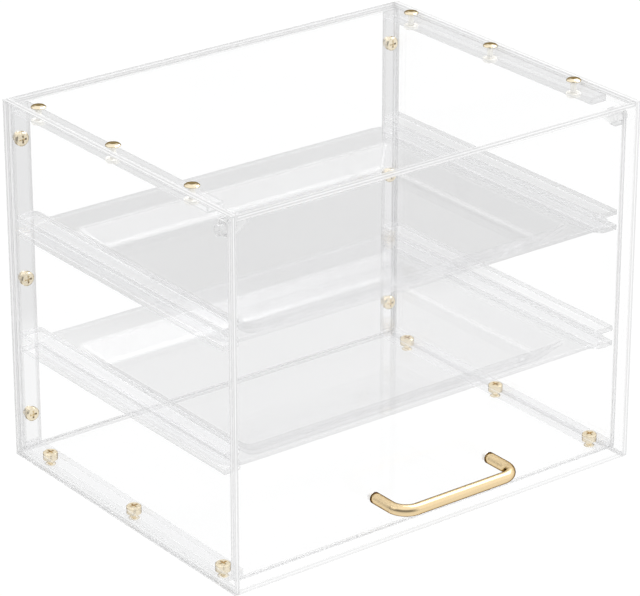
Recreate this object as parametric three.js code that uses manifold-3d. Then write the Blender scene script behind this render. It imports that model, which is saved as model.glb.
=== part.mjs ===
// Clear acrylic countertop case: two slide-in trays behind a flip-up door.
// Millimetres, Z up, front toward -Y, origin at the bottom centre.
import * as THREE from "three";
import Module from "manifold-3d";

const wasm = await Module();
wasm.setup();

// Case panels
const caseWidth = 330;
const caseDepth = 254;
const caseHeight = 258;
const panelThickness = 3.6;
const jointGap = 0.1;

// Strips that join the panels
const stripWidth = 13;
const stripThickness = 4.6;
const stripCornerRadius = 1.6;
const backStripThickness = 2.6;
const topStripFrontSetback = 29.5;
const bottomStripFrontSetback = 13;

// Tray rails
const railWidth = 15.5;
const railThickness = 3.6;
const railFrontSetback = 14.7;
const railBackGap = 0.3;
const railFrontCornerRadius = 7;
const railBackCornerRadius = 3;
const railOpening = 7.2;
const upperTrayRestHeight = 166.4;
const trayPitch = 84.6;

// Trays
const traySideClearance = 1;
const trayFrontSetback = 13;
const trayBackClearance = 0.4;
const flangeThickness = 2.6;
const flangeFrontRadius = 15;
const flangeBackRadius = 24;
const flangeEdgeRound = 0.7;
const sideFlangeWidth = 27.7;
const frontFlangeWidth = 17.4;
const backFlangeWidth = 27.8;
const basinDepth = 13.5;
const basinWallRun = 11.4;
const basinMouthRadius = 5;
const basinFloorRadius = 7;
const basinRimRound = 1.4;
const basinFloorRound = 2.4;
const trayWall = 2.2;

// Door
const doorFrontSetback = 7.35;
const doorThickness = 3.6;
const doorSideGap = 1.5;
const doorBottomGap = 1.6;
const doorTopGap = 4.2;
const doorCornerRadius = 1.5;

// Hinge blocks and pins
const hingeAxisSetback = 15;
const hingeAxisDrop = 14;
const hingeBlockWidth = 6;
const hingeBlockBackReach = 9;
const hingeBlockTopDrop = 8.8;
const hingeBlockHeight = 10.4;
const hingeBlockRound = 5;
const gussetReach = 14;
const gussetHeight = 11;
const gussetThickness = 3.6;
const pinDiameter = 8;
const pinClearance = 0.3;
const pinOuterInset = 0.3;
const pinInnerInset = 0.4;

// Screws through the strips
const headDiameter = 10;
const headRound = 0.7;
const innerHeadProud = 1;
const innerHeadSeatGap = 0.4;
const shankDiameter = 4;
const shankClearance = 0.3;
const outerConeDiameter = 7.4;
const outerConeDepth = 1.7;
const outerConeInset = 0.2;
const domeHeight = 1.8;
const domeEdgeHeight = 0.6;
const domeShoulderShare = 0.84;
const domeShoulderDrop = 0.5;
const domeCrownShare = 0.5;
const nutHeight = 2.6;
const recessSpan = 5.6;
const recessArm = 1.3;
const recessDepth = 1.2;
const topScrewFrontInset = 25;
const topScrewBackInset = 27.5;
const bottomScrewFrontInset = 14;
const bottomScrewBackInset = 27;
const backScrewFootHeight = 29.6;
const backScrewTopDrop = 28.4;
const middleShare = 0.5;

// Handle
const handlePull = 96;
const handleBarDiameter = 8;
const handleProjection = 29;
const handleBendRadius = 12;
const handleHeight = 30.5;
const handleScrewDiameter = 4;
const handleScrewClearance = 0.3;
const handleScrewHeadDiameter = 6.6;
const handleScrewHeadDepth = 1.6;
const handleScrewHeadInset = 0.2;
const handleScrewGrip = 7;
const handleHoleExtraDepth = 1;
const handleSlotLength = 4.4;
const handleSlotWidth = 1;
const handleSlotDepth = 0.7;

// Facet counts
const roundSegments = 20;
const pinSegments = 28;
const cornerSegments = 7;
const handleSteps = 44;
const bendShare = 0.25;
const overcut = 1;

// Derived places
const frontFace = -caseDepth / 2;
const backFace = caseDepth / 2;
const sideInner = caseWidth / 2 - panelThickness;
const backInner = backFace - panelThickness;
const topInner = caseHeight - panelThickness;
const seatSide = sideInner - jointGap;
const screwLine = seatSide - stripWidth / 2;
const doorFront = frontFace + doorFrontSetback;
const doorBack = doorFront + doorThickness;
const blockSeat = doorBack + jointGap;
const doorBottom = panelThickness + doorBottomGap;
const doorTop = topInner - doorTopGap;
const doorHalfWidth = sideInner - doorSideGap;
const hingeAxisY = frontFace + hingeAxisSetback;
const hingeAxisZ = caseHeight - hingeAxisDrop;
const stripSeat = panelThickness + jointGap;
const stackHeight = stripSeat + stripThickness;
const backStackDepth = stripSeat + backStripThickness;
const topScrewSetbacks = threeBetween(
  topStripFrontSetback + topScrewFrontInset,
  caseDepth - topScrewBackInset,
);
const bottomScrewSetbacks = threeBetween(
  bottomStripFrontSetback + bottomScrewFrontInset,
  caseDepth - bottomScrewBackInset,
);
const backScrewHeights = threeBetween(
  backScrewFootHeight,
  caseHeight - backScrewTopDrop,
);

// Colours
const clearAcrylic = new THREE.MeshStandardMaterial({
  color: 0xeef2f2,
  roughness: 0.08,
  transparent: true,
  opacity: 0.4,
});
const stripAcrylic = new THREE.MeshStandardMaterial({
  color: 0xdfe3e3,
  roughness: 0.12,
  transparent: true,
  opacity: 0.6,
});
const trayAcrylic = new THREE.MeshStandardMaterial({
  color: 0xd9dcdd,
  roughness: 0.2,
  transparent: true,
  opacity: 0.6,
});
const brass = new THREE.MeshStandardMaterial({
  color: 0xd8a94f,
  roughness: 0.25,
  metalness: 1,
});

// A first place, one midway and a last one
function threeBetween(first, last) {
  return [first, first + (last - first) * middleShare, last];
}

// Turns a three.js geometry into a solid
function toSolid(geometry) {
  const flat = geometry.index ? geometry.toNonIndexed() : geometry;
  const position = flat.getAttribute("position").array;
  const mesh = new wasm.Mesh({
    numProp: 3,
    vertProperties: new Float32Array(position),
    triVerts: Uint32Array.from({ length: position.length / 3 }, (_, i) => i),
  });
  mesh.merge();
  return new wasm.Manifold(mesh);
}

// Turns a solid back into a three.js geometry
function toGeometry(solid) {
  const mesh = solid.getMesh();
  const indexed = new THREE.BufferGeometry();
  indexed.setAttribute("position", new THREE.BufferAttribute(mesh.vertProperties, 3));
  indexed.setIndex(new THREE.BufferAttribute(mesh.triVerts, 1));
  const geometry = indexed.toNonIndexed();
  geometry.computeVertexNormals();
  return geometry;
}

// A box between two corners
function boxBetween(low, high) {
  const size = high.map((value, axis) => value - low[axis]);
  const middle = high.map((value, axis) => (value + low[axis]) / 2);
  return new THREE.BoxGeometry(...size).translate(...middle);
}

// A flat plate from an outline in X and Y, with its corners rounded one by one
function roundedOutline(left, right, front, back, radii) {
  const shape = new THREE.Shape();
  const [frontLeft, frontRight, backRight, backLeft] = radii;
  shape.moveTo(left + frontLeft, front);
  shape.lineTo(right - frontRight, front);
  addCorner(shape, right - frontRight, front + frontRight, frontRight, 3);
  shape.lineTo(right, back - backRight);
  addCorner(shape, right - backRight, back - backRight, backRight, 0);
  shape.lineTo(left + backLeft, back);
  addCorner(shape, left + backLeft, back - backLeft, backLeft, 1);
  shape.lineTo(left, front + frontLeft);
  addCorner(shape, left + frontLeft, front + frontLeft, frontLeft, 2);
  return shape;
}

// One quarter turn of an outline
function addCorner(shape, x, y, radius, quarter) {
  if (radius > 0) {
    const start = (quarter * Math.PI) / 2;
    shape.absarc(x, y, radius, start, start + Math.PI / 2, false);
  }
}

// Raises an outline between two heights
function plate(shape, low, high) {
  const options = { depth: high - low, bevelEnabled: false, curveSegments: cornerSegments };
  return new THREE.ExtrudeGeometry(shape, options).translate(0, 0, low);
}

// Turns a profile of [radius, height] pairs about Z
function turned(profile, segments) {
  const points = profile.map(([radius, height]) => new THREE.Vector2(radius, height));
  return new THREE.LatheGeometry(points, segments).rotateX(Math.PI / 2);
}

// A round cutter along Z
function roundCutter(diameter, low, high) {
  const radius = diameter / 2;
  return turned([[0, low], [radius, low], [radius, high], [0, high]], roundSegments);
}

// Subtracts cutters from a body
function cut(geometry, cutters) {
  const solids = cutters.map(toSolid);
  return toGeometry(wasm.Manifold.difference([toSolid(geometry), ...solids]));
}

// Adds bodies that touch or overlap
function joined(geometries) {
  return toGeometry(wasm.Manifold.union(geometries.map(toSolid)));
}

// Moves a Z-axis piece so its axis looks along +Y
function alongY(geometry) {
  return geometry.rotateX(-Math.PI / 2);
}

// Moves a Z-axis piece so its axis looks along +X
function alongX(geometry) {
  return geometry.rotateY(Math.PI / 2);
}

// The screw places on one face, as [side, setback] pairs
function screwPlaces(places) {
  return [-1, 1].flatMap((side) => places.map((place) => [side, place]));
}

function sidePanel(side) {
  const low = [side > 0 ? sideInner : -caseWidth / 2, frontFace, 0];
  const high = [side > 0 ? caseWidth / 2 : -sideInner, backFace, caseHeight];
  const bore = alongX(roundPinBore());
  bore.translate(side * (sideInner + panelThickness / 2), hingeAxisY, hingeAxisZ);
  return cut(boxBetween(low, high), [bore]);
}

function roundPinBore() {
  const radius = pinDiameter / 2 + pinClearance;
  const reach = hingeBlockWidth + overcut;
  return turned([[0, -reach], [radius, -reach], [radius, reach], [0, reach]], pinSegments);
}

function topPanel() {
  const body = boxBetween([-seatSide, frontFace, topInner], [seatSide, backFace, caseHeight]);
  const bores = screwPlaces(topScrewSetbacks).map(([side, setback]) => {
    const bore = shankCutter(-overcut, panelThickness + overcut);
    return bore.translate(side * screwLine, frontFace + setback, topInner);
  });
  return cut(body, bores);
}

function bottomPanel() {
  const body = boxBetween([-seatSide, frontFace, 0], [seatSide, backFace, panelThickness]);
  const bores = screwPlaces(bottomScrewSetbacks).map(([side, setback]) => {
    return coneCutter().translate(side * screwLine, frontFace + setback, 0);
  });
  return cut(body, bores);
}

function backPanel() {
  const low = [-seatSide, backInner, panelThickness + jointGap];
  const high = [seatSide, backFace, topInner - jointGap];
  const body = boxBetween(low, high);
  const bores = screwPlaces(backScrewHeights).map(([side, height]) => {
    return alongYInward(coneCutter()).translate(side * screwLine, backFace, height);
  });
  return cut(body, bores);
}

// Turns a piece that rises along +Z so that it runs from the back face toward the front
function alongYInward(geometry) {
  return geometry.rotateX(Math.PI / 2);
}

function shankCutter(low, high) {
  return roundCutter(shankDiameter + 2 * shankClearance, low, high);
}

// The countersunk bore that takes the outer end of an inner screw
function coneCutter() {
  const bore = shankDiameter / 2 + shankClearance;
  const mouth = outerConeDiameter / 2 + shankClearance;
  const profile = [
    [0, -overcut],
    [mouth, -overcut],
    [mouth, outerConeInset],
    [bore, outerConeInset + outerConeDepth + shankClearance],
    [bore, panelThickness + overcut],
    [0, panelThickness + overcut],
  ];
  return turned(profile, roundSegments);
}

// The wide bore of a strip that takes an inner screw's head
function headBore() {
  const diameter = headDiameter + 2 * shankClearance;
  return roundCutter(diameter, panelThickness - overcut, stackHeight + overcut);
}

// A strip's outline in X and Y, its two inner corners rounded
function stripOutline(side, front, back) {
  const left = side > 0 ? seatSide - stripWidth : -seatSide;
  const right = left + stripWidth;
  const round = stripCornerRadius;
  const radii = side > 0 ? [round, 0, 0, 0] : [0, round, 0, 0];
  return roundedOutline(left, right, front, back, radii);
}

function topStrip(side) {
  const outline = stripOutline(side, frontFace + topStripFrontSetback, backInner - jointGap);
  const bores = topScrewSetbacks.map((setback) => {
    const bore = shankCutter(caseHeight - stackHeight - overcut, topInner + overcut);
    return bore.translate(side * screwLine, frontFace + setback, 0);
  });
  return cut(plate(outline, caseHeight - stackHeight, caseHeight - stripSeat), bores);
}

function bottomStrip(side) {
  const outline = stripOutline(side, frontFace + bottomStripFrontSetback, backInner - jointGap);
  const bores = bottomScrewSetbacks.map((setback) => {
    return headBore().translate(side * screwLine, frontFace + setback, 0);
  });
  return cut(plate(outline, stripSeat, stackHeight), bores);
}

function backStrip(side) {
  const left = side > 0 ? seatSide - stripWidth : -seatSide;
  const low = [left, backFace - backStackDepth, stackHeight + jointGap];
  const high = [left + stripWidth, backFace - stripSeat, caseHeight - stackHeight - jointGap];
  const bores = backScrewHeights.map((height) => {
    return alongYInward(headBore()).translate(side * screwLine, backFace, height);
  });
  return cut(boxBetween(low, high), bores);
}

function rail(side, low) {
  const left = side > 0 ? seatSide - railWidth : -seatSide;
  const front = frontFace + railFrontSetback;
  const back = backFace - backStackDepth - railBackGap;
  const rounds = [railFrontCornerRadius, railBackCornerRadius];
  const radii = side > 0 ? [rounds[0], 0, 0, rounds[1]] : [0, rounds[0], rounds[1], 0];
  const outline = roundedOutline(left, left + railWidth, front, back, radii);
  return plate(outline, low, low + railThickness);
}

// The points of a rounded rectangle between two corners, with one radius in front and one behind
function ringPoints(low, high, frontRadius, backRadius, height) {
  const points = [];
  const centres = [[1, 1], [-1, 1], [-1, -1], [1, -1]];
  centres.forEach(([signX, signY], quarter) => {
    const radius = signY > 0 ? backRadius : frontRadius;
    const cornerX = signX > 0 ? high[0] - radius : low[0] + radius;
    const cornerY = signY > 0 ? high[1] - radius : low[1] + radius;
    for (let step = 0; step <= cornerSegments; step += 1) {
      const angle = ((quarter + step / cornerSegments) * Math.PI) / 2;
      const x = cornerX + radius * Math.cos(angle);
      const y = cornerY + radius * Math.sin(angle);
      points.push([x, y, height]);
    }
  });
  return points;
}

// Skins a run of rings into one closed body
function lofted(rings) {
  const count = rings[0].length;
  const middle = (ring) => [0, 0, ring[0][2]];
  const triangles = [];
  for (let i = 0; i < count; i += 1) {
    const next = (i + 1) % count;
    triangles.push(middle(rings[0]), rings[0][next], rings[0][i]);
    rings.slice(1).forEach((ring, k) => {
      const under = rings[k];
      triangles.push(under[i], under[next], ring[next]);
      triangles.push(under[i], ring[next], ring[i]);
    });
    const last = rings[rings.length - 1];
    triangles.push(middle(last), last[i], last[next]);
  }
  const geometry = new THREE.BufferGeometry();
  const values = new Float32Array(triangles.flat());
  return geometry.setAttribute("position", new THREE.BufferAttribute(values, 3));
}

// A rectangle shrunk by an inset on every side
function shrunk([low, high], inset) {
  return [[low[0] + inset, low[1] + inset], [high[0] - inset, high[1] - inset]];
}

// Three heights and insets that round the bend between a level face and the sloping wall
function bend(inset, height, reach, turn) {
  const length = Math.hypot(basinWallRun, basinDepth);
  const across = (reach * basinWallRun) / length;
  const down = (reach * basinDepth) / length;
  const level = [inset - turn * reach, height];
  const slope = [inset + turn * across, height - turn * down];
  const middle = [
    inset + turn * (across - reach) * bendShare,
    height - turn * down * bendShare,
  ];
  return turn > 0 ? [level, middle, slope] : [slope, middle, level];
}

// A tray: a flat flange round a basin with sloping walls and rounded bends
function tray(rest) {
  const halfWidth = sideInner - traySideClearance;
  const edge = [
    [-halfWidth, frontFace + trayFrontSetback],
    [halfWidth, backInner - trayBackClearance],
  ];
  const mouth = [
    [edge[0][0] + sideFlangeWidth, edge[0][1] + frontFlangeWidth],
    [edge[1][0] - sideFlangeWidth, edge[1][1] - backFlangeWidth],
  ];
  const top = rest + flangeThickness;
  const floorTop = top - basinDepth;
  const length = Math.hypot(basinWallRun, basinDepth);
  const slope = basinWallRun / basinDepth;
  const outerInset = (drop) =>
    (drop - (trayWall * basinWallRun) / length) * slope - (trayWall * basinDepth) / length;
  const flange = (inset, height) => {
    const [low, high] = shrunk(edge, inset);
    return ringPoints(low, high, flangeFrontRadius - inset, flangeBackRadius - inset, height);
  };
  const wall = ([inset, height]) => {
    const [low, high] = shrunk(mouth, inset);
    const share = inset / basinWallRun;
    const radius = basinMouthRadius + (basinFloorRadius - basinMouthRadius) * share;
    return ringPoints(low, high, radius, radius, height);
  };
  const foot = outerInset(basinDepth + trayWall);
  const rings = [
    ...bend(foot, floorTop - trayWall, basinFloorRound, -1).reverse().map(wall),
    wall([outerInset(flangeThickness), rest]),
    flange(flangeEdgeRound, rest),
    flange(0, rest + flangeEdgeRound),
    flange(0, top - flangeEdgeRound),
    flange(flangeEdgeRound, top),
    ...bend(0, top, basinRimRound, 1).map(wall),
    ...bend(basinWallRun, floorTop, basinFloorRound, -1).map(wall),
  ];
  return lofted(rings);
}

function door() {
  const width = doorHalfWidth;
  const round = doorCornerRadius;
  const shape = roundedOutline(-width, width, doorBottom, doorTop, [round, round, round, round]);
  const body = plate(shape, 0, doorThickness).rotateX(Math.PI / 2).translate(0, doorBack, 0);
  const bores = [-1, 1].map((side) => {
    return alongY(handleBore()).translate((side * handlePull) / 2, doorBack, handleHeight);
  });
  return cut(body, bores);
}

// The countersunk bore of a handle screw, from the door's back face
function handleBore() {
  const bore = handleScrewDiameter / 2 + handleScrewClearance;
  const mouth = handleScrewHeadDiameter / 2 + handleScrewClearance;
  const profile = [
    [0, -doorThickness - overcut],
    [bore, -doorThickness - overcut],
    [bore, -handleScrewHeadInset - handleScrewHeadDepth - handleScrewClearance],
    [mouth, -handleScrewHeadInset],
    [mouth, overcut],
    [0, overcut],
  ];
  return turned(profile, roundSegments);
}

// The hinge block: a rounded block on the door's back, with a flat gusset beside it
function hingeBlock(side) {
  const top = caseHeight - hingeBlockTopDrop;
  const bottom = top - hingeBlockHeight;
  const back = blockSeat + hingeBlockBackReach;
  const shape = new THREE.Shape();
  shape.moveTo(blockSeat, bottom);
  shape.lineTo(back - hingeBlockRound, bottom);
  addCorner(shape, back - hingeBlockRound, bottom + hingeBlockRound, hingeBlockRound, 3);
  shape.lineTo(back, top);
  shape.lineTo(blockSeat, top);
  const across = side > 0 ? doorHalfWidth - hingeBlockWidth : -doorHalfWidth;
  const block = plate(shape, 0, hingeBlockWidth);
  block.rotateX(Math.PI / 2).rotateZ(Math.PI / 2).translate(across, 0, 0);
  const bore = alongX(roundPinBore()).translate(side * doorHalfWidth, hingeAxisY, hingeAxisZ);
  return cut(joined([block, gusset(side, top)]), [bore]);
}

// The triangular gusset that runs on along the door's back
function gusset(side, top) {
  const inner = doorHalfWidth - hingeBlockWidth;
  const shape = new THREE.Shape();
  shape.moveTo(inner, top);
  shape.lineTo(inner - gussetReach, top);
  shape.lineTo(inner, top - gussetHeight + overcut);
  shape.lineTo(inner + overcut, top - gussetHeight + overcut);
  shape.lineTo(inner + overcut, top);
  const body = plate(shape, 0, gussetThickness);
  body.rotateX(Math.PI / 2).translate(0, blockSeat + gussetThickness, 0);
  return side > 0 ? body : mirroredX(body);
}

// Mirrors a body across the middle plane
function mirroredX(geometry) {
  return toGeometry(toSolid(geometry).mirror([1, 0, 0]));
}

function hingePin(side) {
  const radius = pinDiameter / 2;
  const outer = caseWidth / 2 - pinOuterInset;
  const inner = doorHalfWidth - hingeBlockWidth + pinInnerInset;
  const length = outer - inner;
  const chamfer = pinOuterInset;
  const profile = [
    [0, 0],
    [radius - chamfer, 0],
    [radius, chamfer],
    [radius, length - chamfer],
    [radius - chamfer, length],
    [0, length],
  ];
  const body = alongX(turned(profile, pinSegments));
  return body.translate(side > 0 ? inner : -outer, hingeAxisY, hingeAxisZ);
}

// A cross recess cut down from a head's face
function crossRecess(face) {
  const low = face - recessDepth;
  const high = face + overcut;
  const half = recessSpan / 2;
  const arm = recessArm / 2;
  return [
    boxBetween([-half, -arm, low], [half, arm, high]),
    boxBetween([-arm, -half, low], [arm, half, high]),
  ];
}

// An inner screw: countersunk outside, thin shank, wide head sunk into the strip
function innerScrew(stack) {
  const shank = shankDiameter / 2;
  const head = headDiameter / 2;
  const face = stack + innerHeadProud;
  const profile = [
    [0, outerConeInset],
    [outerConeDiameter / 2, outerConeInset],
    [shank, outerConeInset + outerConeDepth],
    [shank, panelThickness + innerHeadSeatGap],
    [head, panelThickness + innerHeadSeatGap],
    [head, face - headRound],
    [head - headRound, face],
    [0, face],
  ];
  return cut(turned(profile, roundSegments), crossRecess(face));
}

// A top screw: low dome outside, shank through panel and strip, round nut inside
function topScrew() {
  const shank = shankDiameter / 2;
  const head = headDiameter / 2;
  const seat = -stackHeight - 2 * jointGap;
  const low = seat - nutHeight;
  const profile = [
    [0, low],
    [head - headRound, low],
    [head, low + headRound],
    [head, seat],
    [shank, seat],
    [shank, 0],
    [head, 0],
    [head, domeEdgeHeight],
    [head * domeShoulderShare, domeHeight - domeShoulderDrop],
    [head * domeCrownShare, domeHeight],
    [0, domeHeight],
  ];
  return cut(turned(profile, roundSegments), crossRecess(low + recessDepth - overcut));
}

function handle() {
  const bar = new THREE.Shape().absarc(0, 0, handleBarDiameter / 2, 0, 2 * Math.PI, false);
  const options = {
    steps: handleSteps,
    bevelEnabled: false,
    curveSegments: roundSegments / 2,
    extrudePath: new HandleLine(),
  };
  const body = new THREE.ExtrudeGeometry(bar, options);
  const bores = [-1, 1].map((side) => {
    const diameter = handleScrewDiameter + 2 * handleScrewClearance;
    const depth = handleScrewGrip + handleHoleExtraDepth;
    const bore = alongY(roundCutter(diameter, -depth, overcut));
    return bore.translate((side * handlePull) / 2, doorFront, handleHeight);
  });
  return cut(body, bores);
}

// The handle's centre line: leg, quarter bend, bar, quarter bend, leg
class HandleLine extends THREE.Curve {
  getPoint(share, target = new THREE.Vector3()) {
    const leg = handleProjection - handleBendRadius - jointGap;
    const bend = (handleBendRadius * Math.PI) / 2;
    const half = handlePull / 2;
    const bar = half - handleBendRadius;
    const whole = leg + bend + bar;
    const side = share < middleShare ? -1 : 1;
    const along = (share < middleShare ? share : 1 - share) * 2 * whole;
    const [out, across] = HandleLine.place(along, leg, bend, half);
    return target.set(side * across, doorFront - jointGap - out, handleHeight);
  }

  // How far in front of the door and from the middle a point lies
  static place(along, leg, bend, half) {
    if (along <= leg) {
      return [along, half];
    }
    if (along <= leg + bend) {
      const turn = (along - leg) / handleBendRadius;
      const out = leg + handleBendRadius * Math.sin(turn);
      return [out, half - handleBendRadius * (1 - Math.cos(turn))];
    }
    return [leg + handleBendRadius, half - handleBendRadius - (along - leg - bend)];
  }
}

// A handle screw: shank through the door into the bar, flush head with a slot
function handleScrew(side) {
  const shank = handleScrewDiameter / 2;
  const head = handleScrewHeadDiameter / 2;
  const face = -handleScrewHeadInset;
  const profile = [
    [0, -doorThickness - handleScrewGrip],
    [shank, -doorThickness - handleScrewGrip],
    [shank, face - handleScrewHeadDepth],
    [head, face],
    [0, face],
  ];
  const half = handleSlotLength / 2;
  const arm = handleSlotWidth / 2;
  const slot = boxBetween([-half, -arm, face - handleSlotDepth], [half, arm, face + overcut]);
  const body = cut(turned(profile, roundSegments), [slot]);
  return alongY(body).translate((side * handlePull) / 2, doorBack, handleHeight);
}

const group = new THREE.Group();

// Adds one named piece
function add(name, geometry, material) {
  const mesh = new THREE.Mesh(geometry, material);
  mesh.name = name;
  group.add(mesh);
}

add("top_panel", topPanel(), clearAcrylic);
add("bottom_panel", bottomPanel(), clearAcrylic);
add("back_panel", backPanel(), clearAcrylic);
add("door", door(), clearAcrylic);
add("handle", handle(), brass);

for (const [label, side] of [["left", -1], ["right", 1]]) {
  add(`side_panel_${label}`, sidePanel(side), clearAcrylic);
  add(`top_strip_${label}`, topStrip(side), stripAcrylic);
  add(`bottom_strip_${label}`, bottomStrip(side), stripAcrylic);
  add(`back_strip_${label}`, backStrip(side), stripAcrylic);
  add(`hinge_block_${label}`, hingeBlock(side), clearAcrylic);
  add(`hinge_pin_${label}`, hingePin(side), clearAcrylic);
  add(`handle_screw_${label}`, handleScrew(side), brass);
  for (const [level, drop] of [["upper", 0], ["lower", trayPitch]]) {
    const rest = upperTrayRestHeight - drop;
    add(`${level}_tray_support_rail_${label}`, rail(side, rest - railThickness), stripAcrylic);
    add(`${level}_tray_guide_rail_${label}`, rail(side, rest + railOpening), stripAcrylic);
  }
  topScrewSetbacks.forEach((setback, index) => {
    const body = topScrew().translate(side * screwLine, frontFace + setback, caseHeight + jointGap);
    add(`top_screw_${label}_${index + 1}`, body, brass);
  });
  bottomScrewSetbacks.forEach((setback, index) => {
    const body = innerScrew(stackHeight).translate(side * screwLine, frontFace + setback, 0);
    add(`bottom_screw_${label}_${index + 1}`, body, brass);
  });
  backScrewHeights.forEach((height, index) => {
    const place = [side * screwLine, backFace, height];
    const body = alongYInward(innerScrew(backStackDepth)).translate(...place);
    add(`back_screw_${label}_${index + 1}`, body, brass);
  });
}

add("upper_tray", tray(upperTrayRestHeight + jointGap), trayAcrylic);
add("lower_tray", tray(upperTrayRestHeight + jointGap - trayPitch), trayAcrylic);

export default group;
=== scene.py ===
import math

import bpy
import numpy as np
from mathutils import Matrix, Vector


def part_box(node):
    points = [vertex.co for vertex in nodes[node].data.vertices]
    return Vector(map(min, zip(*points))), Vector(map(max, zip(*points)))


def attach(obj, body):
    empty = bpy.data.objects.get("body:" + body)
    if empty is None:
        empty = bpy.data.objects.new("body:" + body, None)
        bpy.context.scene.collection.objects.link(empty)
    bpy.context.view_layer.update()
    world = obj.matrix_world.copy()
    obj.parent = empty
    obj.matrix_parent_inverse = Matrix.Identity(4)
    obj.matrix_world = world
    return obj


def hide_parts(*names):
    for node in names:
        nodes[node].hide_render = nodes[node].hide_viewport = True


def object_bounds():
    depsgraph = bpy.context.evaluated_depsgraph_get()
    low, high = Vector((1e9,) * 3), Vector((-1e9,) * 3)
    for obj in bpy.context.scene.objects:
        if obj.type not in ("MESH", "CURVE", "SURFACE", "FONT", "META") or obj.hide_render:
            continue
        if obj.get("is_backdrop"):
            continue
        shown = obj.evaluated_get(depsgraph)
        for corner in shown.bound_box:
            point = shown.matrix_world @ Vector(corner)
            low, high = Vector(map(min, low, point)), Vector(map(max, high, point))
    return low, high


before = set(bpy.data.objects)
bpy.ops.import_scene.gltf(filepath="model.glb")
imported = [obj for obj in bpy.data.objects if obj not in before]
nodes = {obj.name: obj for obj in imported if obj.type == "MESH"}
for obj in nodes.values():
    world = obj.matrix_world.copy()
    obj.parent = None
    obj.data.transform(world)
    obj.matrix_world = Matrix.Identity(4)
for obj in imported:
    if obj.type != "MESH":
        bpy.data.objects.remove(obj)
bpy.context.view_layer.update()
print("stage: frame loaded,", len(nodes), "nodes")

# Camera
camera = {
    "azimuth": -37.3,
    "elevation": 23.7,
    "aimRight": -0.00092,
    "aimUp": -0.01129,
    "aimHeight": 0.129,
    "distance": 2.2714,
    "lens": 191.4,
    "sensor": 36.0,
    "clipStart": 0.05,
    "clipEnd": 40.0,
}


def makeCamera(c):
    a = math.radians(c["azimuth"])
    e = math.radians(c["elevation"])
    back = Vector((math.sin(a) * math.cos(e), -math.cos(a) * math.cos(e), math.sin(e)))
    right = Vector((math.cos(a), math.sin(a), 0.0))
    up = back.cross(right)
    data = bpy.data.cameras.new("photoCamera")
    data.lens = c["lens"]
    data.sensor_width = c["sensor"]
    data.clip_start = c["clipStart"]
    data.clip_end = c["clipEnd"]
    made = bpy.data.objects.new("photoCamera", data)
    bpy.context.scene.collection.objects.link(made)
    aim = Vector((0, 0, c["aimHeight"])) + right * c["aimRight"] + up * c["aimUp"]
    made.location = aim + back * c["distance"]
    made.rotation_mode = "QUATERNION"
    made.rotation_quaternion = (-back).to_track_quat("-Z", "Y")
    bpy.context.scene.camera = made


makeCamera(camera)
bpy.context.scene.view_settings.view_transform = "Standard"
print("stage: camera placed")


# Node helpers
def newMaterial(name):
    m = bpy.data.materials.new(name)
    m.use_nodes = True
    m.node_tree.nodes.clear()
    return m, m.node_tree


def add(tree, kind, **values):
    n = tree.nodes.new(kind)
    for key, value in values.items():
        setattr(n, key, value)
    return n


def link(tree, source, target):
    tree.links.new(source, target)


def math2(tree, operation, a, b):
    n = add(tree, "ShaderNodeMath", operation=operation)
    for i, v in enumerate((a, b)):
        if v is None:
            continue
        if isinstance(v, (int, float)):
            n.inputs[i].default_value = v
        else:
            link(tree, v, n.inputs[i])
    return n.outputs[0]


def largest(tree, values):
    top = values[0]
    for value in values[1:]:
        top = math2(tree, "MAXIMUM", top, value)
    return top


def mapRange(tree, value, low, high, toLow, toHigh):
    n = add(tree, "ShaderNodeMapRange")
    link(tree, value, n.inputs["Value"])
    for key, v in (("From Min", low), ("From Max", high), ("To Min", toLow), ("To Max", toHigh)):
        n.inputs[key].default_value = v
    return n.outputs["Result"]


def mixColor(tree, factor, a, b):
    n = add(tree, "ShaderNodeMix", data_type="RGBA")
    link(tree, factor, n.inputs["Factor"])
    for socket, v in ((n.inputs["A"], a), (n.inputs["B"], b)):
        if isinstance(v, tuple):
            socket.default_value = (*v, 1.0)
        else:
            link(tree, v, socket)
    return n.outputs["Result"]


def mixValue(tree, factor, a, b):
    n = add(tree, "ShaderNodeMix")
    link(tree, factor, n.inputs["Factor"])
    for socket, v in ((n.inputs["A"], a), (n.inputs["B"], b)):
        if isinstance(v, float):
            socket.default_value = v
        else:
            link(tree, v, socket)
    return n.outputs["Result"]


def newGroup(name, inputs, outputs):
    g = bpy.data.node_groups.new(name, "ShaderNodeTree")
    for label, kind, value in inputs:
        s = g.interface.new_socket(name=label, in_out="INPUT", socket_type=kind)
        s.default_value = value
    for label, kind in outputs:
        g.interface.new_socket(name=label, in_out="OUTPUT", socket_type=kind)
    return g, add(g, "NodeGroupInput"), add(g, "NodeGroupOutput")


# Fine hairline scratches and slow unevenness, both in object space
wearSpec = {
    "hairTurn": (0.4, 0.7, 0.9),
    "hairScale": (900.0, 24.0, 60.0),
    "hairDetail": 3.0,
    "hairFrom": 0.62,
    "hairTo": 0.72,
    "slowScale": 14.0,
    "slowDetail": 2.0,
}


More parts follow.
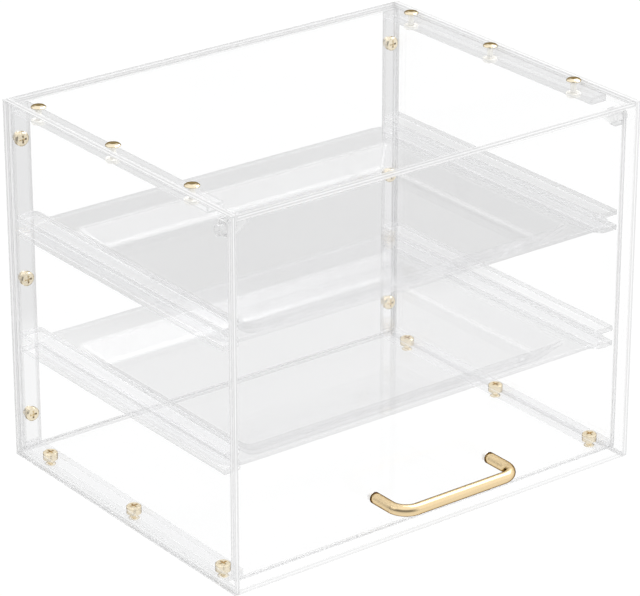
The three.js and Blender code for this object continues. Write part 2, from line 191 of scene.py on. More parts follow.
def makeWearGroup(c):
    g, gin, gout = newGroup(
        "fineWear",
        [("Scale", "NodeSocketFloat", 1.0)],
        [("Scratches", "NodeSocketFloat"), ("Unevenness", "NodeSocketFloat")],
    )
    coords = add(g, "ShaderNodeTexCoord")
    sized = add(g, "ShaderNodeVectorMath", operation="SCALE")
    link(g, coords.outputs["Object"], sized.inputs[0])
    link(g, gin.outputs["Scale"], sized.inputs["Scale"])
    stretch = add(g, "ShaderNodeMapping")
    stretch.inputs["Rotation"].default_value = c["hairTurn"]
    stretch.inputs["Scale"].default_value = c["hairScale"]
    link(g, sized.outputs[0], stretch.inputs["Vector"])
    hair = add(g, "ShaderNodeTexNoise")
    hair.inputs["Scale"].default_value = 1.0
    hair.inputs["Detail"].default_value = c["hairDetail"]
    link(g, stretch.outputs[0], hair.inputs["Vector"])
    scratches = mapRange(g, hair.outputs["Fac"], c["hairFrom"], c["hairTo"], 0.0, 1.0)
    link(g, scratches, gout.inputs["Scratches"])
    slow = add(g, "ShaderNodeTexNoise")
    slow.inputs["Scale"].default_value = c["slowScale"]
    slow.inputs["Detail"].default_value = c["slowDetail"]
    link(g, sized.outputs[0], slow.inputs["Vector"])
    link(g, slow.outputs["Fac"], gout.inputs["Unevenness"])
    return g


# Masks on a box-shaped sheet, where d = half - |p - centre| is the depth under each face and
# its second smallest value is the distance to the nearest edge. Border is the line beside an
# edge, Inner the next line, Near a wide band, Cut the outer faces square to the sheet's own
# normal, and Up the faces that look up.
edgeSpec = {
    "borderFrom": 0.6,  # of a line's width
    "borderTo": 1.4,
    "innerFrom": 1.8,
    "innerTo": 2.4,
    "nearFrom": 0.009,  # metres
    "nearTo": 0.011,
    "outerFrom": 0.001,
    "outerTo": 0.002,
    "faceFrom": 0.45,  # of a unit normal
    "faceTo": 0.85,
}


def makeBoxGroup(c):
    g, gin, gout = newGroup(
        "boxEdges",
        [
            ("Centre", "NodeSocketVector", (0.0, 0.0, 0.0)),
            ("Half", "NodeSocketVector", (0.1, 0.1, 0.1)),
            ("Sheet normal", "NodeSocketVector", (0.0, 0.0, 1.0)),
            ("Line width", "NodeSocketFloat", 0.0006),
        ],
        [
            ("Border", "NodeSocketFloat"),
            ("Inner", "NodeSocketFloat"),
            ("Cut", "NodeSocketFloat"),
            ("Near", "NodeSocketFloat"),
            ("Up", "NodeSocketFloat"),
        ],
    )
    coords = add(g, "ShaderNodeTexCoord")
    away = add(g, "ShaderNodeVectorMath", operation="SUBTRACT")
    link(g, coords.outputs["Object"], away.inputs[0])
    link(g, gin.outputs["Centre"], away.inputs[1])
    size = add(g, "ShaderNodeVectorMath", operation="ABSOLUTE")
    link(g, away.outputs[0], size.inputs[0])
    inside = add(g, "ShaderNodeVectorMath", operation="SUBTRACT")
    link(g, gin.outputs["Half"], inside.inputs[0])
    link(g, size.outputs[0], inside.inputs[1])
    parts = add(g, "ShaderNodeSeparateXYZ")
    link(g, inside.outputs[0], parts.inputs[0])
    x, y, z = parts.outputs
    upper = math2(g, "MINIMUM", math2(g, "MAXIMUM", x, y), z)
    second = math2(g, "MAXIMUM", math2(g, "MINIMUM", x, y), upper)
    ratio = math2(g, "DIVIDE", second, gin.outputs["Line width"])
    border = mapRange(g, ratio, c["borderFrom"], c["borderTo"], 1.0, 0.0)
    link(g, border, gout.inputs["Border"])
    both = mapRange(g, ratio, c["innerFrom"], c["innerTo"], 1.0, 0.0)
    link(g, math2(g, "SUBTRACT", both, border), gout.inputs["Inner"])
    near = mapRange(g, second, c["nearFrom"], c["nearTo"], 1.0, 0.0)
    link(g, near, gout.inputs["Near"])
    dot = add(g, "ShaderNodeVectorMath", operation="DOT_PRODUCT")
    link(g, coords.outputs["Normal"], dot.inputs[0])
    link(g, gin.outputs["Sheet normal"], dot.inputs[1])
    flat = math2(g, "ABSOLUTE", dot.outputs["Value"], None)
    across = mapRange(g, flat, c["faceFrom"], c["faceTo"], 1.0, 0.0)
    facing = add(g, "ShaderNodeVectorMath", operation="ABSOLUTE")
    link(g, coords.outputs["Normal"], facing.inputs[0])
    depth = add(g, "ShaderNodeVectorMath", operation="DOT_PRODUCT")
    link(g, facing.outputs[0], depth.inputs[0])
    link(g, inside.outputs[0], depth.inputs[1])
    under = depth.outputs["Value"]
    outside = mapRange(g, under, c["outerFrom"], c["outerTo"], 1.0, 0.0)
    link(g, math2(g, "MULTIPLY", across, outside), gout.inputs["Cut"])
    turned = add(g, "ShaderNodeSeparateXYZ")
    link(g, coords.outputs["Normal"], turned.inputs[0])
    up = mapRange(g, turned.outputs["Z"], c["faceFrom"], c["faceTo"], 0.0, 1.0)
    link(g, up, gout.inputs["Up"])
    return g


# Masks on a moulded tray, from its normal n: Wall where |n.y| is large, on the walls in front and
# behind, Rim on the upright edges and the bends, and Swirls as contour lines of a slow noise,
# fract(count * noise) near one half, in patches
wallSpec = {
    "wallFrom": 0.35,
    "wallTo": 0.60,
    "edgeFrom": 0.45,
    "edgeTo": 0.58,
    "bendFrom": 0.70,
    "bendTo": 0.76,
    "levelFrom": 0.96,
    "levelTo": 0.99,
    "swirlSize": 18.0,
    "swirlDetail": 1.0,
    "swirlBend": 0.6,
    "swirlCount": 11.0,
    "lineFrom": 0.03,
    "lineTo": 0.14,
    "patchSize": 9.0,
    "patchFrom": 0.46,
    "patchTo": 0.58,
}


def makeWallGroup(c):
    g, gin, gout = newGroup(
        "mouldedWall",
        [("Swirl size", "NodeSocketFloat", c["swirlSize"])],
        [("Wall", "NodeSocketFloat"), ("Swirls", "NodeSocketFloat"), ("Rim", "NodeSocketFloat")],
    )
    coords = add(g, "ShaderNodeTexCoord")
    parts = add(g, "ShaderNodeSeparateXYZ")
    link(g, coords.outputs["Normal"], parts.inputs[0])
    slant = math2(g, "ABSOLUTE", parts.outputs["Y"], None)
    wall = mapRange(g, slant, c["wallFrom"], c["wallTo"], 0.0, 1.0)
    link(g, wall, gout.inputs["Wall"])
    level = math2(g, "ABSOLUTE", parts.outputs["Z"], None)
    onEdge = mapRange(g, level, c["edgeFrom"], c["edgeTo"], 1.0, 0.0)
    below = mapRange(g, level, c["levelFrom"], c["levelTo"], 1.0, 0.0)
    above = mapRange(g, level, c["bendFrom"], c["bendTo"], 0.0, 1.0)
    onBend = math2(g, "MULTIPLY", above, below)
    link(g, math2(g, "MAXIMUM", onEdge, onBend), gout.inputs["Rim"])
    slow = add(g, "ShaderNodeTexNoise")
    slow.inputs["Detail"].default_value = c["swirlDetail"]
    slow.inputs["Distortion"].default_value = c["swirlBend"]
    link(g, gin.outputs["Swirl size"], slow.inputs["Scale"])
    link(g, coords.outputs["Object"], slow.inputs["Vector"])
    counted = math2(g, "MULTIPLY", slow.outputs["Fac"], c["swirlCount"])
    contour = math2(g, "FRACT", counted, None)
    apart = math2(g, "ABSOLUTE", math2(g, "SUBTRACT", contour, 0.5), None)
    lines = mapRange(g, apart, c["lineFrom"], c["lineTo"], 1.0, 0.0)
    patches = add(g, "ShaderNodeTexNoise")
    patches.inputs["Scale"].default_value = c["patchSize"]
    link(g, coords.outputs["Object"], patches.inputs["Vector"])
    patch = mapRange(g, patches.outputs["Fac"], c["patchFrom"], c["patchTo"], 0.0, 1.0)
    link(g, math2(g, "MULTIPLY", lines, patch), gout.inputs["Swirls"])
    return g


wearGroup = makeWearGroup(wearSpec)
boxGroup = makeBoxGroup(edgeSpec)
wallGroup = makeWallGroup(wallSpec)


def useGroup(tree, group):
    n = add(tree, "ShaderNodeGroup")
    n.node_tree = group
    return n


# Box masks for one node, from its own corners
def boxMasks(tree, node, normal, width):
    low, high = (np.array(corner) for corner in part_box(node))
    masks = useGroup(tree, boxGroup)
    masks.inputs["Centre"].default_value = tuple((low + high) / 2)
    masks.inputs["Half"].default_value = tuple((high - low) / 2)
    masks.inputs["Sheet normal"].default_value = normal
    masks.inputs["Line width"].default_value = width
    return masks


acrylicIndex = 1.49


# Fresnel share with the same value on both sides of a thin sheet:
# the node turns the index over on back faces, so they are given 1 / index
def evenFresnel(tree):
    where = add(tree, "ShaderNodeNewGeometry")
    index = mapRange(tree, where.outputs["Backfacing"], 0.0, 1.0, acrylicIndex, 1 / acrylicIndex)
    gloss = add(tree, "ShaderNodeFresnel")
    link(tree, index, gloss.inputs["IOR"])
    return gloss.outputs[0]


def mixShader(tree, factor, first, second):
    n = add(tree, "ShaderNodeMixShader")
    link(tree, factor, n.inputs[0])
    link(tree, first, n.inputs[1])
    link(tree, second, n.inputs[2])
    return n.outputs[0]


def finish(tree, shader):
    out = add(tree, "ShaderNodeOutputMaterial")
    link(tree, shader, out.inputs["Surface"])


# Passes after which a ray ends, and the glow in which one from thick acrylic ends
rayLimits = {"Ray Depth": 9.5, "Glossy Depth": 3.5, "Diffuse Depth": 3.5}
sheetRayLimits = {"Transparent Depth": 7.5, **rayLimits}
thickGlow = 0.8


# A ray that has used up its passes ends in a plain pale glow instead of in black,
# greyer once it has come through thick acrylic
def pastDepth(tree, rays, limits, shader, tint, strength):
    past = [math2(tree, "GREATER_THAN", rays.outputs[name], limits[name]) for name in limits]
    glow = add(tree, "ShaderNodeEmission")
    link(tree, tint, glow.inputs["Color"])
    bent = rays.outputs["Is Transmission Ray"]
    level = mapRange(tree, bent, 0.0, 1.0, strength, thickGlow)
    link(tree, level, glow.inputs["Strength"])
    return mixShader(tree, largest(tree, past), shader, glow.outputs[0])


# The part that lets light straight on. In thick pieces it is a straight refraction,
# so what is seen through them counts as seen through thick acrylic.
def clearPart(tree, tint, thick):
    n = add(tree, "ShaderNodeBsdfRefraction" if thick else "ShaderNodeBsdfTransparent")
    link(tree, tint, n.inputs["Color"])
    if thick:
        n.inputs["Roughness"].default_value = 0.0
        n.inputs["IOR"].default_value = 1.0
    return n.outputs[0]


# Shadow rays pass straight through, tinted as the clear part is
def lampsThrough(tree, rays, shader, tint):
    passed = add(tree, "ShaderNodeBsdfTransparent")
    link(tree, tint, passed.inputs["Color"])
    return mixShader(tree, rays.outputs["Is Shadow Ray"], shader, passed.outputs[0])


# Scratches are rougher than the polish between them
def polish(tree, wear, spec):
    scratches = wear.outputs["Scratches"]
    return mapRange(tree, scratches, 0.0, 1.0, spec["roughness"], spec["scratchRoughness"])


# The places of a clear piece that look solid. Principled looks the same from both sides by
# itself, and with 1 / index on its back faces it would glow.
def coveredPart(tree, wear, tone, spec):
    solid = add(tree, "ShaderNodeBsdfPrincipled")
    solid.inputs["IOR"].default_value = acrylicIndex
    link(tree, tone, solid.inputs["Base Color"])
    link(tree, polish(tree, wear, spec), solid.inputs["Roughness"])
    return solid.outputs[0]


# Last layers of a clear piece: gloss, the glow of spent rays, and a way through for the lamps
def finishClear(tree, body, tint, limits, spec):
    mirror = add(tree, "ShaderNodeBsdfGlossy")
    mirror.inputs["Roughness"].default_value = spec["glossRoughness"]
    gloss = math2(tree, "MULTIPLY", evenFresnel(tree), spec["glossShare"])
    shown = mixShader(tree, gloss, body, mirror.outputs[0])
    rays = add(tree, "ShaderNodeLightPath")
    lit = pastDepth(tree, rays, limits, shown, tint, spec["deepGlow"])
    finish(tree, lampsThrough(tree, rays, lit, tint) if spec["thick"] else lit)


# Clear sheet or bar: see-through with gloss, partly covered on its cut faces and along its edges.
# The grey tones there are painted shade, darker on cut faces that look up; fine scratches add
# real wear.
coverOf = {"Border": "lineCover", "Inner": "innerCover", "Cut": "cutCover", "Near": "nearCover"}


def sheet(name, node, normal, spec):
    m, t = newMaterial(name)
    wear = useGroup(t, wearGroup)
    masks = boxMasks(t, node, normal, spec["lineWidth"])
    # Tint drifting at random between two values; where it is above 1, as on strips and rails, it
    # is painted light
    tint = mixColor(t, wear.outputs["Unevenness"], spec["tintAndLiftA"], spec["tintAndLiftB"])
    # Painted shade: grey on the cut faces, darker where they look up, and lines of it beside each
    # edge
    cut = mixColor(t, masks.outputs["Up"], spec["cutShadeTone"], spec["upShadeTone"])
    edged = mixColor(t, masks.outputs["Border"], cut, spec["lineShadeTone"])
    tone = mixColor(t, masks.outputs["Inner"], edged, spec["innerShadeTone"])
    shares = [math2(t, "MULTIPLY", masks.outputs[k], spec[coverOf[k]]) for k in coverOf]
    hair = math2(t, "MULTIPLY", wear.outputs["Scratches"], spec["scratchCover"])
    cover = math2(t, "ADD", largest(t, shares), hair)
    clear = clearPart(t, tint, spec["thick"])
    body = mixShader(t, cover, clear, coveredPart(t, wear, tone, spec))
    finishClear(t, body, tint, sheetRayLimits, spec)
    return m


# Moulded clear acrylic, with painted sheen on the walls of its basin, darker swirl lines in it
# that are painted reflection, and painted shade on its rims
def moulded(name, spec):
    m, t = newMaterial(name)
    wear = useGroup(t, wearGroup)
    form = useGroup(t, wallGroup)
    tint = mixColor(t, wear.outputs["Unevenness"], spec["tintAndLiftA"], spec["tintAndLiftB"])
    # Painted sheen and reflection: a pale cover on the front and back walls with darker swirl
    # lines; painted shade: a grey cover on the rims and bends
    swirl = math2(t, "MULTIPLY", form.outputs["Swirls"], spec["swirlDepth"])
    wallTone = mixColor(t, swirl, spec["wallSheenTone"], spec["swirlReflectionTone"])
    tone = mixColor(t, form.outputs["Rim"], wallTone, spec["rimTone"])
    wallCover = math2(t, "MULTIPLY", form.outputs["Wall"], spec["wallSheenCover"])
    rimCover = math2(t, "MULTIPLY", form.outputs["Rim"], spec["rimShadeCover"])
    cover = math2(t, "MAXIMUM", wallCover, rimCover)
    clear = clearPart(t, tint, spec["thick"])
    body = mixShader(t, cover, clear, coveredPart(t, wear, tone, spec))
    finishClear(t, body, tint, rayLimits, spec)
    return m


# Brass: warm tone drifting between two alloys, fine turned grain, painted shade where it turns
# away from the view, plain and pale below one height
def brass(name, spec):
    m, t = newMaterial(name)
    wear = useGroup(t, wearGroup)
    wear.inputs["Scale"].default_value = spec["grain"]
    tone = mixColor(t, wear.outputs["Unevenness"], spec["toneA"], spec["toneB"])
    coords = add(t, "ShaderNodeTexCoord")
    parts = add(t, "ShaderNodeSeparateXYZ")
    link(t, coords.outputs["Object"], parts.inputs[0])
    low = spec["paleBelow"] - spec["paleBand"]
    sunk = mapRange(t, parts.outputs["Z"], low, spec["paleBelow"], 1.0, 0.0)
    # Painted shade: the tone darkens as the surface turns away from the view
    turned = add(t, "ShaderNodeLayerWeight")
    turned.inputs["Blend"].default_value = spec["facingBlend"]
    edge = mapRange(t, turned.outputs["Facing"], spec["edgeFrom"], spec["edgeTo"], 0.0, 1.0)
    edged = mixColor(t, edge, tone, spec["turnedShadeTone"])
    tone = mixColor(t, sunk, edged, spec["paleTone"])
    bump = add(t, "ShaderNodeBump")
    bump.inputs["Strength"].default_value = spec["bump"]
    bump.inputs["Distance"].default_value = spec["bumpHeight"]
    link(t, wear.outputs["Scratches"], bump.inputs["Height"])
    shader = add(t, "ShaderNodeBsdfPrincipled")
    metal = mapRange(t, sunk, 0.0, 1.0, 1.0, spec["paleMetallic"])
    link(t, metal, shader.inputs["Metallic"])
    shader.inputs["Specular Tint"].default_value = (*spec["rimTone"], 1.0)
    link(t, tone, shader.inputs["Base Color"])
    link(t, polish(t, wear, spec), shader.inputs["Roughness"])
    link(t, bump.outputs["Normal"], shader.inputs["Normal"])
    finish(t, shader.outputs[0])
    return m


panelLook = {
    "thick": False,
    "tintAndLiftA": (0.998, 0.998, 0.998),
    "tintAndLiftB": (0.994, 0.995, 0.995),
    "cutShadeTone": (0.90, 0.90, 0.902),
    "upShadeTone": (0.49, 0.49, 0.493),
    "lineShadeTone": (0.78, 0.78, 0.783),
    "innerShadeTone": (0.64, 0.64, 0.643),
    "lineWidth": 0.0006,
    "lineCover": 0.5,
    "innerCover": 0.0,
    "cutCover": 0.75,
    "nearCover": 0.0,
    "scratchCover": 0.01,
    "roughness": 0.06,
    "scratchRoughness": 0.2,
    "glossRoughness": 0.01,
    "glossShare": 0.3,
    "deepGlow": 1.0,
}
# The right panel's wide band along its edges is painted shade
rightPanelLook = {
    **panelLook,
    "nearCover": 0.09,
}
bottomPanelLook = {
    **panelLook,
    "cutCover": 0.45,
}
# Strips and rails: tints above 1 lift what is seen through a bar, which is painted light
stripLook = {
    **panelLook,
    "thick": True,
    "tintAndLiftA": (1.035, 1.035, 1.037),
    "tintAndLiftB": (1.025, 1.025, 1.027),
    "cutShadeTone": (0.50, 0.50, 0.503),
    "lineShadeTone": (0.60, 0.60, 0.603),
    "innerShadeTone": (0.40, 0.40, 0.403),
    "lineCover": 0.35,
    "innerCover": 0.18,
    "cutCover": 0.20,
    "glossShare": 0.5,
    "deepGlow": 0.85,
}
topStripLook = {
    **stripLook,
    "tintAndLiftA": (1.045, 1.045, 1.047),
    "tintAndLiftB": (1.035, 1.035, 1.037),
    "cutCover": 0.05,
}
bottomStripLook = {
    **stripLook,
    "tintAndLiftA": (1.035, 1.035, 1.038),
    "tintAndLiftB": (1.025, 1.025, 1.028),
    "lineShadeTone": (0.75, 0.75, 0.753),
    "innerCover": 0.10,
    "cutCover": 0.08,
}
railLook = {
    **stripLook,
    "tintAndLiftA": (1.045, 1.045, 1.047),
    "tintAndLiftB": (1.035, 1.035, 1.037),
    "lineWidth": 0.0007,
    "lineShadeTone": (0.66, 0.66, 0.662),
    "innerShadeTone": (0.50, 0.50, 0.503),
    "lineCover": 0.50,
    "innerCover": 0.24,
}
pinLook = {
    **panelLook,
    "tintAndLiftA": (0.985, 0.985, 0.985),
    "tintAndLiftB": (0.975, 0.975, 0.975),
    "cutShadeTone": (0.95, 0.95, 0.952),
    "lineShadeTone": (0.97, 0.97, 0.972),
    "cutCover": 0.45,
    "lineCover": 0.50,
}
trayLook = {
    "thick": True,
    "tintAndLiftA": (0.992, 0.992, 0.994),
    "tintAndLiftB": (0.980, 0.980, 0.983),
    "wallSheenCover": 0.14,
    "wallSheenTone": (0.80, 0.80, 0.802),
    "swirlReflectionTone": (0.50, 0.50, 0.505),
    "swirlDepth": 0.30,
    # Painted shade on the rims and bends
    "rimTone": (0.66, 0.66, 0.663),
    "rimShadeCover": 0.14,
    "roughness": 0.06,
    "scratchRoughness": 0.12,
    "glossRoughness": 0.04,
    "glossShare": 1.0,
    "deepGlow": 0.85,
}
screwLook = {
    "toneA": (0.90, 0.81, 0.63),
    "toneB": (0.84, 0.73, 0.53),
    "rimTone": (0.40, 0.32, 0.22),
    "grain": 3.0,
    "roughness": 0.10,
    "scratchRoughness": 0.22,
    "bump": 0.15,
    "bumpHeight": 0.0002,
    "facingBlend": 0.5,
    "turnedShadeTone": (0.34, 0.28, 0.18),
    "edgeFrom": 0.62,
    "edgeTo": 0.80,
    "paleBelow": 0.0,
    "paleTone": (0.92, 0.91, 0.87),
    "paleBand": 0.0005,
    "paleMetallic": 0.15,
}
topScrewLook = {
    **screwLook,
    "edgeFrom": 0.44,
    "edgeTo": 0.62,
    "paleBelow": 0.2583,
}
handleScrewLook = {
    **screwLook,
    "paleBelow": 1.0,
    "paleTone": (0.97, 0.97, 0.97),
}
handleLook = {
    **screwLook,
    "toneA": (0.88, 0.70, 0.44),
    "toneB": (0.84, 0.65, 0.38),
    "rimTone": (0.34, 0.25, 0.16),
    "grain": 2.0,
    "roughness": 0.20,
    "scratchRoughness": 0.30,
    "bump": 0.06,
    "turnedShadeTone": (0.22, 0.14, 0.06),
    "edgeFrom": 0.58,
    "edgeTo": 0.78,
}
trayClear = moulded("trayClear", trayLook)
screwBrass = brass("screwBrass", screwLook)
topScrewBrass = brass("topScrewBrass", topScrewLook)
handleScrewSteel = brass("handleScrewSteel", handleScrewLook)
handleBrass = brass("handleBrass", handleLook)
print("stage: materials made")

# What each node gets, by the first start that its name has
materials = {
    "handle_screw": handleScrewSteel,
    "handle": handleBrass,
    "top_screw": topScrewBrass,
    "back_screw": screwBrass,
    "bottom_screw": screwBrass,
}
sheetLooks = {
    "hinge": pinLook,
    "top_strip": topStripLook,
    "back_strip": stripLook,
    "bottom_strip": bottomStripLook,
    "side_panel_right": rightPanelLook,
    "bottom_panel": bottomPanelLook,
    "upper_tray": railLook,
    "lower_tray": railLook,
}
alongX, alongY, alongZ = (1.0, 0.0, 0.0), (0.0, 1.0, 0.0), (0.0, 0.0, 1.0)
sheetNormals = {
    "side_panel": alongX,
    "hinge": alongX,
    "back_panel": alongY,
    "back_strip": alongY,
    "door": alongY,
}
trays = ("upper_tray", "lower_tray")


def firstFit(table, node, otherwise):
    return next((table[start] for start in table if node.startswith(start)), otherwise)


def materialOf(node):
    made = trayClear if node in trays else firstFit(materials, node, None)
    if made is None:
        look = firstFit(sheetLooks, node, panelLook)
        made = sheet(f"{node}Sheet", node, firstFit(sheetNormals, node, alongZ), look)
    return made


def dress(node, material):
    data = nodes[node].data
    data.materials.clear()
    data.materials.append(material)


for node in nodes:
    dress(node, materialOf(node))
print("stage: nodes dressed")


def addPiece(name, points, faces, material, body):
    mesh = bpy.data.meshes.new(name)
    mesh.from_pydata(points.tolist(), [], faces)
    mesh.polygons.foreach_set("use_smooth", np.ones(len(mesh.polygons), dtype=bool))
    mesh.update()
    mesh.materials.append(material)
    made = bpy.data.objects.new(name, mesh)
    bpy.context.scene.collection.objects.link(made)
    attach(made, body)
    return made


# Quads between rings of equal length, each end closed by one flat face
def skin(rings):
    count = len(rings[0])
    points = np.concatenate(rings)
    step = np.arange(count)
    after = (step + 1) % count
    faces = []
    for k in range(len(rings) - 1):
        low, high = k * count, (k + 1) * count
        quads = np.stack([low + step, low + after, high + after, high + step], axis=1)
        faces.extend(quads.tolist())
    faces.append(step[::-1].tolist())
    faces.append(((len(rings) - 1) * count + step).tolist())
    return points, faces


millimetre = 0.001


# Two corners of a node's box, in millimetres
def boxOf(node):
    return (np.array(corner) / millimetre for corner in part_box(node))


# Trays, millimetres: flat flange round a basin with sloping walls and soft bends
trayLow, trayHigh = boxOf("upper_tray")
tray = {
    "halfWidth": trayHigh[0],
    "front": trayLow[1],
    "back": trayHigh[1],
    "frontRadius": 15.0,
    "backRadius": 24.0,
    "flangeThickness": 2.6,
    "flangeEdgeRound": 0.7,
    "sideFlange": 27.7,
    "frontFlange": 17.4,
    "backFlange": 27.8,
    "basinDepth": 13.5,
    "wallRun": 11.4,
    "mouthRadius": 5.0,
    "floorRadius": 7.0,
    "rimRound": 1.4,
    "floorRound": 2.4,
    "wall": 2.2,
    "cornerSteps": 14,
    "bendSteps": 6,
    "edgeSteps": 4,
    "holdLoop": 0.4,  # beside a bend, to keep the flat part flat
    "rimLoop": 0.5,
    "capInset": 8.0,
}


# Corner centre + r (cos a, sin a), a over a quarter turn at each of the four corners
def trayRing(low, high, frontRadius, backRadius, height):
    steps = tray["cornerSteps"]
    rows = []
    for quarter, (sx, sy) in enumerate([(1, 1), (-1, 1), (-1, -1), (1, -1)]):
        radius = backRadius if sy > 0 else frontRadius
        cx = high[0] - radius if sx > 0 else low[0] + radius
        cy = high[1] - radius if sy > 0 else low[1] + radius
        a = (quarter + np.arange(steps + 1) / steps) * np.pi / 2
        level = np.full_like(a, height)
        rows.append(np.stack([cx + radius * np.cos(a), cy + radius * np.sin(a), level], axis=1))
    return np.concatenate(rows) * millimetre


# Arc with radius reach / tan(t / 2) between a level face and the wall's slope t
def trayBend(inset, height, reach, turn):
    t = math.atan2(tray["basinDepth"], tray["wallRun"])
    radius = reach / math.tan(t / 2)
    a = np.linspace(0, t, tray["bendSteps"])
    across = inset - turn * reach + turn * radius * np.sin(a)
    heights = height - turn * radius * (1 - np.cos(a))
    return list(zip(across, heights))


def trayRings(rest):
    c = tray
    low, high = (-c["halfWidth"], c["front"]), (c["halfWidth"], c["back"])
    mouthLow = (low[0] + c["sideFlange"], low[1] + c["frontFlange"])
    mouthHigh = (high[0] - c["sideFlange"], high[1] - c["backFlange"])
    top = rest + c["flangeThickness"]
    floor = top - c["basinDepth"]
    length = math.hypot(c["wallRun"], c["basinDepth"])
    slope = c["wallRun"] / c["basinDepth"]

    # How far in the outer side of the wall stands, a drop below the flange's top
    def outer(drop):
        along = drop - c["wall"] * c["wallRun"] / length
        return along * slope - c["wall"] * c["basinDepth"] / length

    def flange(inset, height):
        return trayRing(
            (low[0] + inset, low[1] + inset), (high[0] - inset, high[1] - inset),
            c["frontRadius"] - inset, c["backRadius"] - inset, height,
        )

    def wall(place):
        inset, height = place
        radius = c["mouthRadius"] + (c["floorRadius"] - c["mouthRadius"]) * inset / c["wallRun"]
        return trayRing(
            (mouthLow[0] + inset, mouthLow[1] + inset),
            (mouthHigh[0] - inset, mouthHigh[1] - inset),
            radius, radius, height,
        )

    hold, edge = c["holdLoop"], c["flangeEdgeRound"]
    foot = outer(c["basinDepth"] + c["wall"])
    seat = outer(c["flangeThickness"])
    underFloor = trayBend(foot, floor - c["wall"], c["floorRound"], -1)
    floorBend = trayBend(c["wallRun"], floor, c["floorRound"], -1)
    a = np.linspace(0, np.pi / 2, c["edgeSteps"])
    rings = [wall((foot + c["capInset"], floor - c["wall"]))]
    rings += [wall(place) for place in underFloor]
    rings += [wall((seat + hold, rest - hold / slope))]
    rings += [wall((seat, rest)), wall((seat - hold, rest)), flange(edge + hold, rest)]
    rings += [flange(edge * (1 - math.sin(v)), rest + edge * (1 - math.cos(v))) for v in a]
    rings += [flange(edge * (1 - math.cos(v)), top - edge * (1 - math.sin(v))) for v in a]
    rings += [flange(edge + hold, top), wall((-c["rimRound"] - c["rimLoop"], top))]
    rings += [wall(place) for place in trayBend(0, top, c["rimRound"], 1)]
    rings += [wall(place) for place in reversed(floorBend)]
    rings += [wall((c["wallRun"] + c["floorRound"] + c["capInset"], floor))]
    return rings


for level in ("upper", "lower"):
    _, high = boxOf(f"{level}_tray")
    points, faces = skin(trayRings(high[2] - tray["flangeThickness"]))
    body = f"{level}_tray_body"
    made = addPiece(f"{level}TrayShell", points, faces, trayClear, body)
    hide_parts(f"{level}_tray")
print("stage: trays made")

# Handle, millimetres: one round bar bent twice, standing on the door
handleLow, handleHigh = boxOf("handle")
handleWidth, handleDepth, handleThick = handleHigh - handleLow
bar = {
    "pull": handleWidth - handleThick,
    "radius": handleThick / 2,
    "projection": handleDepth - handleThick / 2,
    "bendRadius": 12.0,
    "height": (handleLow[2] + handleHigh[2]) / 2,
    "foot": handleHigh[1],
    "sides": 28,
    "bendSteps": 16,
    "barSteps": 24,
    "legSteps": 6,
}


# Centre line as rows of (x, out), with the direction of travel t beside it
def barLine(c):
    half, leg = c["pull"] / 2, c["projection"] - c["bendRadius"]
    a = np.linspace(0, np.pi / 2, c["bendSteps"])
    legs = np.linspace(0, leg, c["legSteps"])[:-1]
    run = np.linspace(-half + c["bendRadius"], half - c["bendRadius"], c["barSteps"])[1:-1]
    x = np.concatenate([np.full_like(legs, -half), -half + c["bendRadius"] * (1 - np.cos(a))])
    out = np.concatenate([legs, leg + c["bendRadius"] * np.sin(a)])
    turn = np.concatenate([np.zeros_like(legs), a])
    level, across = np.full_like(run, c["projection"]), np.full_like(run, np.pi / 2)
    return (
        np.concatenate([x, run, -x[::-1]]),
        np.concatenate([out, level, out[::-1]]),
        np.concatenate([turn, across, np.pi - turn[::-1]]),
    )


# Ring point = centre + r (cos s (-cos t, -sin t) in the bar's plane, sin s up)
def barRings(c):
    x, out, turn = (row[:, None] for row in barLine(c))
    s = np.linspace(0, 2 * np.pi, c["sides"], endpoint=False)
    px = x - c["radius"] * np.cos(s) * np.cos(turn)
    py = c["foot"] - out - c["radius"] * np.cos(s) * np.sin(turn)
    pz = np.broadcast_to(c["height"] + c["radius"] * np.sin(s), px.shape)
    return np.stack([px, py, pz], axis=2) * millimetre


points, faces = skin(barRings(bar))
made = addPiece("handleBar", points, faces, handleBrass, "flip_door")
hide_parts("handle")
print("stage: handle made")

# White sweep under the case, evenly bright as seen straight on. Light that has come through thick
# acrylic sees it greyer far behind, and gloss sees it dimmer to the front left: painted shade in
# what is seen through the acrylic and mirrored in it
floorSpec = {
    "halfSize": 12.0,
    "drop": 0.0004,
    "seen": 1.04,
    "mirrored": 1.0,
    "mirroredDim": 0.22,
    "dimSide": (-0.8, -0.6, 0.0),
    "dimFrom": 0.12,
    "dimTo": 0.55,
    "lit": 1.0,
    "fallAlong": (0.35, 0.94, 0.0),
    "nearTone": 0.91,
    "farTone": 0.77,
    "nearAt": 0.235,
    "farAt": 0.30,
}


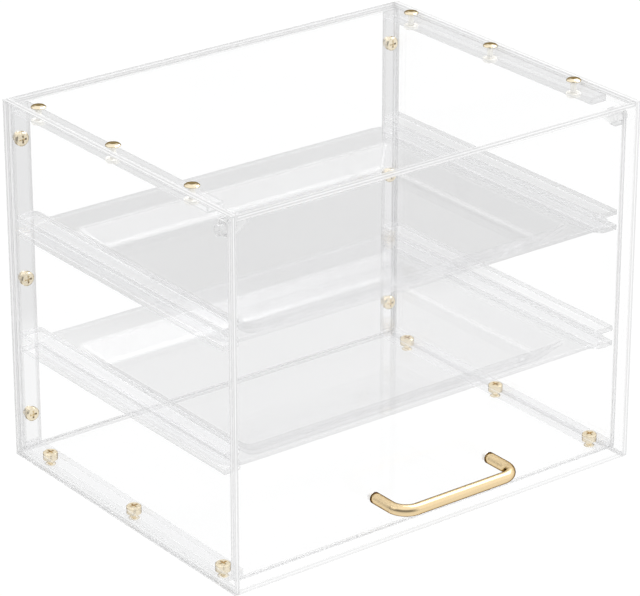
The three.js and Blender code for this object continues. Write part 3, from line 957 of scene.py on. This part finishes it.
def makeFloor(c):
    s, z = c["halfSize"], -c["drop"]
    mesh = bpy.data.meshes.new("whiteFloor")
    mesh.from_pydata([(-s, -s, z), (s, -s, z), (s, s, z), (-s, s, z)], [], [(0, 1, 2, 3)])
    made = bpy.data.objects.new("whiteFloor", mesh)
    bpy.context.scene.collection.objects.link(made)
    m, t = newMaterial("whiteFloor")
    coords = add(t, "ShaderNodeTexCoord")
    along = add(t, "ShaderNodeVectorMath", operation="DOT_PRODUCT")
    link(t, coords.outputs["Object"], along.inputs[0])
    along.inputs[1].default_value = c["fallAlong"]
    place = along.outputs["Value"]
    # Painted shade: greyer far behind as seen through acrylic, and dimmer to the front left as
    # seen in gloss
    through = mapRange(t, place, c["nearAt"], c["farAt"], c["nearTone"], c["farTone"])
    rays = add(t, "ShaderNodeLightPath")
    aside = add(t, "ShaderNodeVectorMath", operation="DOT_PRODUCT")
    link(t, coords.outputs["Object"], aside.inputs[0])
    aside.inputs[1].default_value = c["dimSide"]
    place = aside.outputs["Value"]
    mirrored = mapRange(t, place, c["dimFrom"], c["dimTo"], c["mirrored"], c["mirroredDim"])
    lit = mixValue(t, rays.outputs["Is Glossy Ray"], c["lit"], mirrored)
    bent = mixValue(t, rays.outputs["Is Transmission Ray"], lit, through)
    glow = add(t, "ShaderNodeEmission")
    link(t, mixValue(t, rays.outputs["Is Camera Ray"], bent, c["seen"]), glow.inputs["Strength"])
    finish(t, glow.outputs[0])
    mesh.materials.append(m)
    made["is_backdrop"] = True


makeFloor(floorSpec)

# Studio surround: bright all round, a dim flag low at the front left that only gloss sees
surround = {
    "bright": 1.12,
    "dim": 0.25,
    "front": (-0.86, -0.50, 0.0),
    "frontFrom": 0.0,
    "frontTo": 0.6,
    "bandTop": 0.45,
    "bandEnd": 0.70,
}


def makeWorld(c):
    world = bpy.data.worlds.new("studio")
    bpy.context.scene.world = world
    world.use_nodes = True
    t = world.node_tree
    t.nodes.clear()
    coords = add(t, "ShaderNodeTexCoord")
    toward = add(t, "ShaderNodeVectorMath", operation="DOT_PRODUCT")
    link(t, coords.outputs["Generated"], toward.inputs[0])
    toward.inputs[1].default_value = c["front"]
    inFront = mapRange(t, toward.outputs["Value"], c["frontFrom"], c["frontTo"], 0.0, 1.0)
    parts = add(t, "ShaderNodeSeparateXYZ")
    link(t, coords.outputs["Generated"], parts.inputs[0])
    inBand = mapRange(t, parts.outputs["Z"], c["bandTop"], c["bandEnd"], 1.0, 0.0)
    dark = math2(t, "MULTIPLY", inFront, inBand)
    rays = add(t, "ShaderNodeLightPath")
    seenBy = math2(t, "MULTIPLY", dark, rays.outputs["Is Glossy Ray"])
    tone = mixColor(t, seenBy, (c["bright"],) * 3, (c["dim"],) * 3)
    back = add(t, "ShaderNodeBackground")
    link(t, tone, back.inputs["Color"])
    out = add(t, "ShaderNodeOutputWorld")
    link(t, back.outputs[0], out.inputs["Surface"])


makeWorld(surround)

# Two soft boxes: a key high at the back right, a low fill from the left
lamps = [
    {"name": "keyBox", "at": (1.1, 0.05, 1.65), "size": (1.4, 1.7), "power": 18.0},
    {"name": "leftBox", "at": (-1.7, 0.2, 0.9), "size": (0.8, 1.0), "power": 1.5},
]
lampAim = Vector((0, 0, 0.12))


def makeLamp(c):
    data = bpy.data.lights.new(c["name"], "AREA")
    data.shape = "RECTANGLE"
    data.size, data.size_y = c["size"]
    data.energy = c["power"]
    made = bpy.data.objects.new(c["name"], data)
    bpy.context.scene.collection.objects.link(made)
    made.location = c["at"]
    made.rotation_mode = "QUATERNION"
    made.rotation_quaternion = (lampAim - made.location).to_track_quat("-Z", "Y")


for lamp in lamps:
    makeLamp(lamp)
print("stage: studio made")

low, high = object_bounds()
